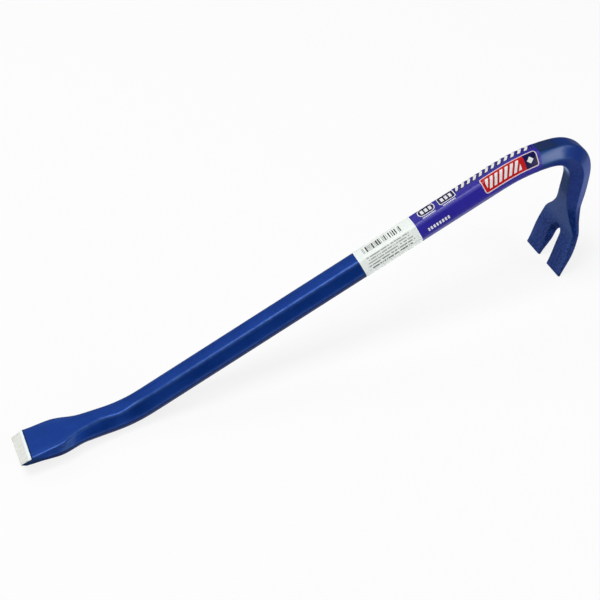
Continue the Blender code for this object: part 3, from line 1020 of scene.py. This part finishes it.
def enamelled_steel():
    """Blue enamel over the forging, ground off on the upper bevel of the chisel."""
    g = Graph("blue_enamel")
    place = g.position()
    along = g.attribute("along")
    upward = g.vector("DOT_PRODUCT", g.normal(), (-math.sin(RESTING_LEAN), 0.0, math.cos(RESTING_LEAN)))
    hook = g.ramp(along, *HOOK_COMES)
    past_film = g.ramp(along, *FILM_ENDS)
    tone = g.times(g.noise(place, TONE_PATCH, 3.0), TONE_SHARES[0])
    tone = g.plus(tone, g.times(g.noise(place, SPECK_PATCH, 2.0), TONE_SHARES[1]))

    ragged = g.times(g.minus(g.noise(place, RAGGED_PATCH, 3.0), 0.5), GRIND_RAGGED)
    skew = g.times(g.minus(EDGE_WIDTH / 2, g.attribute("sideways")), GRIND_SKEW)
    grind_line = g.plus(along, ragged, skew)
    ground = g.times(g.fall(grind_line, *GRIND_ENDS), g.ramp(upward, *BEVEL_UPWARD))
    enamel, coat = enamel_paint(g, place, along, upward, grind_line, tone, hook, past_film)

    strokes = g.noise(place, STROKE_PATCH, 3.0, STROKE_STRETCH)
    # Feather edge of the bevel by the paint: polished, and near white as a painted highlight
    feather_highlight = g.ramp(grind_line, *GRIND_FEATHER_HIGHLIGHT)
    steel = g.mix(g.ramp(strokes, *STEEL_TONES), STEEL_GREY, STEEL_BRIGHT)
    steel = g.mix(feather_highlight, steel, STEEL_FEATHER_HIGHLIGHT)
    g.set("Base Color", g.mix(ground, enamel, steel))
    flake = g.mix(past_film, ENAMEL_FLAKE, HOOK_FLAKE)
    g.set("Metallic", g.mix(ground, flake, g.mix(feather_highlight, STEEL_SHARE, FEATHER_SHARE)))
    g.set("Specular Tint", ENAMEL_EDGE_TINT)
    g.set("Specular IOR Level", 0.0)
    g.set("Coat Weight", g.mix(ground, coat, 0.0))
    g.set("Coat Roughness", COAT_ROUGHNESS)
    g.set("Coat IOR", COAT_IOR)
    gloss = g.mix(hook, ENAMEL_ROUGHNESS, HOOK_ROUGHNESS)
    rough_enamel = g.plus(gloss, g.times(g.minus(tone, 0.5), ROUGHNESS_SPREAD))
    g.set("Roughness", g.mix(ground, rough_enamel, g.ramp(strokes, *STEEL_ROUGHNESS)))

    peel = g.times(g.noise(place, PEEL_PATCH, 1.0), PEEL_HEIGHT)
    coarse_height = g.mix(hook, COARSE_HEIGHT, COARSE_HEIGHT_ON_HOOK)
    coarse = g.times(g.noise(place, COARSE_PATCH, 2.0), coarse_height)
    crown = g.crown(g.attribute("across"), g.attribute("half"))
    crown = g.times(crown, g.mix(hook, 1.0, HOOK_CROWN))
    relief = g.mix(ground, g.plus(peel, coarse, crown), g.times(strokes, STROKE_HEIGHT))
    g.relief(g.plus(relief, g.times(ground, -ENAMEL_HEIGHT)))
    return g.material


def millimetres(g):
    """Print coordinates in millimetres: along the bar from the label's start, and round from the ridge."""
    return g.times(g.attribute("along"), MILLIMETRES), g.times(g.attribute("round"), MILLIMETRES)


def label_relief(g, place, y, fibre_height):
    """Bump of a label: rounded over each flat of the stock, with slow ripples and a fine fibre."""
    across = g.math("WRAP", y, STOCK_SIDE * MILLIMETRES, 0.0)
    across = g.times(g.minus(across, STOCK_SIDE * MILLIMETRES / 2), 1 / MILLIMETRES)
    ripple = g.times(g.noise(place, RIPPLE_PATCH, 2.0), RIPPLE_HEIGHT)
    fibre = g.times(g.noise(place, FIBRE_PATCH, 2.0), fibre_height)
    g.relief(g.plus(ripple, fibre, g.crown(across, STOCK_SIDE / 2)))


def film_print():
    """Indigo film with chevrons, two framed shapes, small blocks and a red badge of slanted bars."""
    g = Graph("indigo_film")
    place = g.position()
    x, y = millimetres(g)
    point = g.combine(x, y)
    colour = g.mix(g.noise(place, FILM_PATCH, 3.0), INDIGO, INDIGO_LIGHT)
    # Painted highlight along the film's ridge
    colour = g.mix(g.ramp(g.absolute(y), *RIDGE_HIGHLIGHT_SPREAD), colour, INDIGO_RIDGE_HIGHLIGHT)

    # White chevrons with a dark border along the far edge of the upper flat
    middle, _, _, pitch, half = CHEVRONS
    swept = g.plus(x, g.times(g.absolute(g.minus(y, middle[1])), CHEVRON_SWEEP))
    off_chevron = g.minus(g.off_repeat(swept, pitch), half)
    border = g.inside(g.minus(off_chevron, CHEVRON_BORDER))
    surround = g.inside(g.box(point, middle, *CHEVRON_SURROUND))
    colour = g.mix(g.times(border, surround), colour, NIGHT_BLUE)
    colour = g.stripes(colour, point, swept, *CHEVRONS)

    # Two framed shapes on the upper flat, each over a row of dashes
    for centre, radius, stripe_radius in FRAMED_SHAPES:
        frame_edge = g.box(point, centre, FRAME_HALF, radius)
        colour = g.mix(g.inside(frame_edge), colour, PRINT_WHITE)
        colour = g.mix(g.inside(g.plus(frame_edge, FRAME_LINE)), colour, NIGHT_BLUE)
        off = g.minus(x, centre[0])
        half_row, pitch, half = FRAME_STRIPES
        colour = g.stripes(colour, point, off, centre, half_row, stripe_radius, pitch, half)
        colour = g.stripes(colour, point, off, (centre[0], FRAME_DASHES_Y), *FRAME_DASHES)

    # Small blocks low on the near side
    colour = g.stripes(colour, point, x, *SMALL_BLOCKS)

    # Red badge with a pale keyline, slanted white bars and a diamond on a night blue end
    badge_edge = g.box(point, *BADGE)
    colour = g.mix(g.inside(badge_edge), colour, KEYLINE)
    red = g.mix(g.noise(place, RED_PATCH, 2.0), RED, RED_DEEP)
    fill = g.mix(g.ramp(x, *BADGE_END), red, NIGHT_BLUE)
    colour = g.mix(g.inside(g.plus(badge_edge, BADGE_LINE)), colour, fill)
    colour = g.stripes(colour, point, g.plus(x, g.times(y, BADGE_BAR_LEAN)), *BADGE_BARS)
    off_x = g.absolute(g.minus(x, DIAMOND_MIDDLE[0]))
    off_y = g.absolute(g.minus(y, DIAMOND_MIDDLE[1]))
    colour = g.mix(g.inside(g.minus(g.plus(off_x, off_y), DIAMOND_HALF)), colour, PRINT_WHITE)

    g.set("Base Color", colour)
    g.set("Roughness", g.ramp(g.noise(place, FILM_HAZE_PATCH, 4.0), *FILM_ROUGHNESS))
    g.set("Specular IOR Level", 0.0)
    g.set("Coat Weight", FILM_COAT)
    g.set("Coat Roughness", COAT_ROUGHNESS)
    label_relief(g, place, y, FILM_FIBRE_HEIGHT)
    return g.material


def panel_print():
    """White panel with a block of upright bars and rows of grey dashes."""
    g = Graph("white_panel")
    place = g.position()
    x, y = millimetres(g)
    point = g.combine(x, y)
    colour = g.mix(g.noise(place, PANEL_PATCH, 3.0), PAPER, PAPER_SHADE)

    # Upright bars of random width, with a gap at every third module
    bar = g.cell(g.combine(g.math("DIVIDE", x, UPRIGHT_MODULE), 3.0, 1.0))
    bar = g.math("GREATER_THAN", bar, UPRIGHT_GAPS)
    gap = g.math("LESS_THAN", g.off_repeat(x, 3 * UPRIGHT_MODULE), UPRIGHT_MODULE / 2)
    window = g.inside(g.box(point, *UPRIGHTS), PANEL_BLUR)
    colour = g.mix(g.times(bar, g.minus(1.0, gap), window), colour, PRINT_BLACK)

    # Rows of dashes of random length, with ragged ends. The whole numbers pick unlike random draws
    row_place = g.math("DIVIDE", g.minus(FIRST_ROW_Y + MARK_PITCH / 2, y), MARK_PITCH)
    row = g.math("FLOOR", row_place)
    in_row = g.fall(g.absolute(g.minus(g.math("FRACT", row_place), 0.5)), *MARK_HALF_HEIGHT)
    mark = g.cell(g.combine(g.math("DIVIDE", x, MARK_WIDTH), row, 7.0))
    row_end = g.times(g.cell(g.combine(5.0, row, 2.0)), ROW_RAGGED)
    first, last = ROW_ENDS
    started = g.math("GREATER_THAN", x, g.plus(row_end, first))
    ended = g.math("LESS_THAN", x, g.minus(last, row_end))
    counted = g.times(g.math("GREATER_THAN", row, -0.5), g.math("LESS_THAN", row, ROW_COUNT - 0.5))
    marks = g.times(g.math("GREATER_THAN", mark, MARK_GAPS), in_row)
    marks = g.times(marks, g.times(started, ended), counted)
    ink = g.mix(g.ramp(row, *DARKER_ROWS), PRINT_GREY, PRINT_BLACK)
    colour = g.mix(g.times(marks, MARK_INK), colour, ink)

    g.set("Base Color", colour)
    g.set("Roughness", g.ramp(g.noise(place, PANEL_HAZE_PATCH, 4.0), *PANEL_ROUGHNESS))
    label_relief(g, place, y, PANEL_FIBRE_HEIGHT)
    return g.material


def build_bar(line):
    """The whole forging as one fine mesh."""
    mesh = loft(line, bar_rings())
    hammer(mesh, line)
    bar = new_object("forged_bar_finished", mesh)
    cut_away(bar, new_object("slot_cutter", slot_cutter(line)))
    mark_bar(bar.data, line)
    return bar


def add_floor():
    """Pale floor that looks nearly white and keeps a soft shadow."""
    mesh = bmesh.new()
    bmesh.ops.create_grid(mesh, x_segments=2, y_segments=2, size=FLOOR_HALF)
    floor = new_object("floor", mesh)
    g = Graph("floor")
    g.set("Base Color", (FLOOR_GREY, FLOOR_GREY, FLOOR_GREY))
    g.set("Roughness", FLOOR_ROUGHNESS)
    g.set("Specular IOR Level", 0.0)
    glow = g.node("Emission", (1.0, 1.0, 1.0), 1.0)
    rays = g.node("LightPath").outputs
    seen = g.plus(rays["Is Camera Ray"], rays["Is Glossy Ray"])
    seen = g.math("ADD", seen, rays["Is Transmission Ray"], clamp=True)
    share = g.times(seen, FLOOR_WHITE_SHARE)
    surface = g.node("MixShader", share, g.shader.outputs[0], glow.outputs[0]).outputs[0]
    g.feed(g.nodes["Material Output"].inputs["Surface"], surface)
    floor.data.materials.append(g.material)


def add_lamp(name, target, direction, size, power):
    """Soft rectangular lamp aimed at a point of the bar, its first side turned along the bar."""
    data = bpy.data.lights.new(name, "AREA")
    data.shape = "RECTANGLE"
    data.size, data.size_y = size
    data.energy = power
    towards = Vector(direction).normalized()
    side = (Vector((1.0, 0.0, 0.0)) - towards * towards.x).normalized()
    turn = Matrix((side, towards.cross(side), towards)).transposed()
    lamp = bpy.data.objects.new(name, data)
    lamp.matrix_world = Matrix.Translation(towards * LAMP_DISTANCE + Vector(target)) @ turn.to_4x4()
    lamp.visible_camera = False
    bpy.context.scene.collection.objects.link(lamp)


def add_studio():
    """Soft lamps overhead, at the near left and right and behind, in a dark room."""
    for lamp in LAMPS:
        add_lamp(*lamp)
    world = bpy.data.worlds.new("studio")
    world.use_nodes = True
    background = world.node_tree.nodes["Background"]
    background.inputs["Color"].default_value = (1.0, 1.0, 1.0, 1.0)
    background.inputs["Strength"].default_value = WORLD_GLOW
    bpy.context.scene.world = world


def add_camera():
    """Camera at the photograph's viewing angle."""
    data = bpy.data.cameras.new("camera")
    data.lens = CAMERA_LENS
    data.shift_x, data.shift_y = CAMERA_SHIFT
    data.clip_start, data.clip_end = CAMERA_CLIP
    camera = bpy.data.objects.new("camera", data)
    camera.location = CAMERA_PLACE
    camera.rotation_euler = [math.radians(angle) for angle in CAMERA_TURN]
    bpy.context.scene.collection.objects.link(camera)
    bpy.context.scene.camera = camera


def make():
    """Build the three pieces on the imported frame, and the studio round them."""
    add_camera()
    line = CentreLine()
    bar = build_bar(line)
    film = wrapped_label("film_label_printed", line, FILM_START, FILM_END)
    panel = wrapped_label("barcode_label_printed", line, PANEL_START, FILM_START)
    lean((bar, film, panel), bar.data)
    for piece, node, slot, surface in (
        (bar, "forged_bar", "blue_enamel", enamelled_steel()),
        (film, "film_label", "indigo_film", film_print()),
        (panel, "barcode_label", "white_panel", panel_print()),
    ):
        shade(piece)
        piece.data.materials.append(surface)
        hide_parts(node)
        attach(piece, "root")
    add_floor()
    add_studio()
    bpy.context.scene.view_settings.view_transform = "Standard"


make()
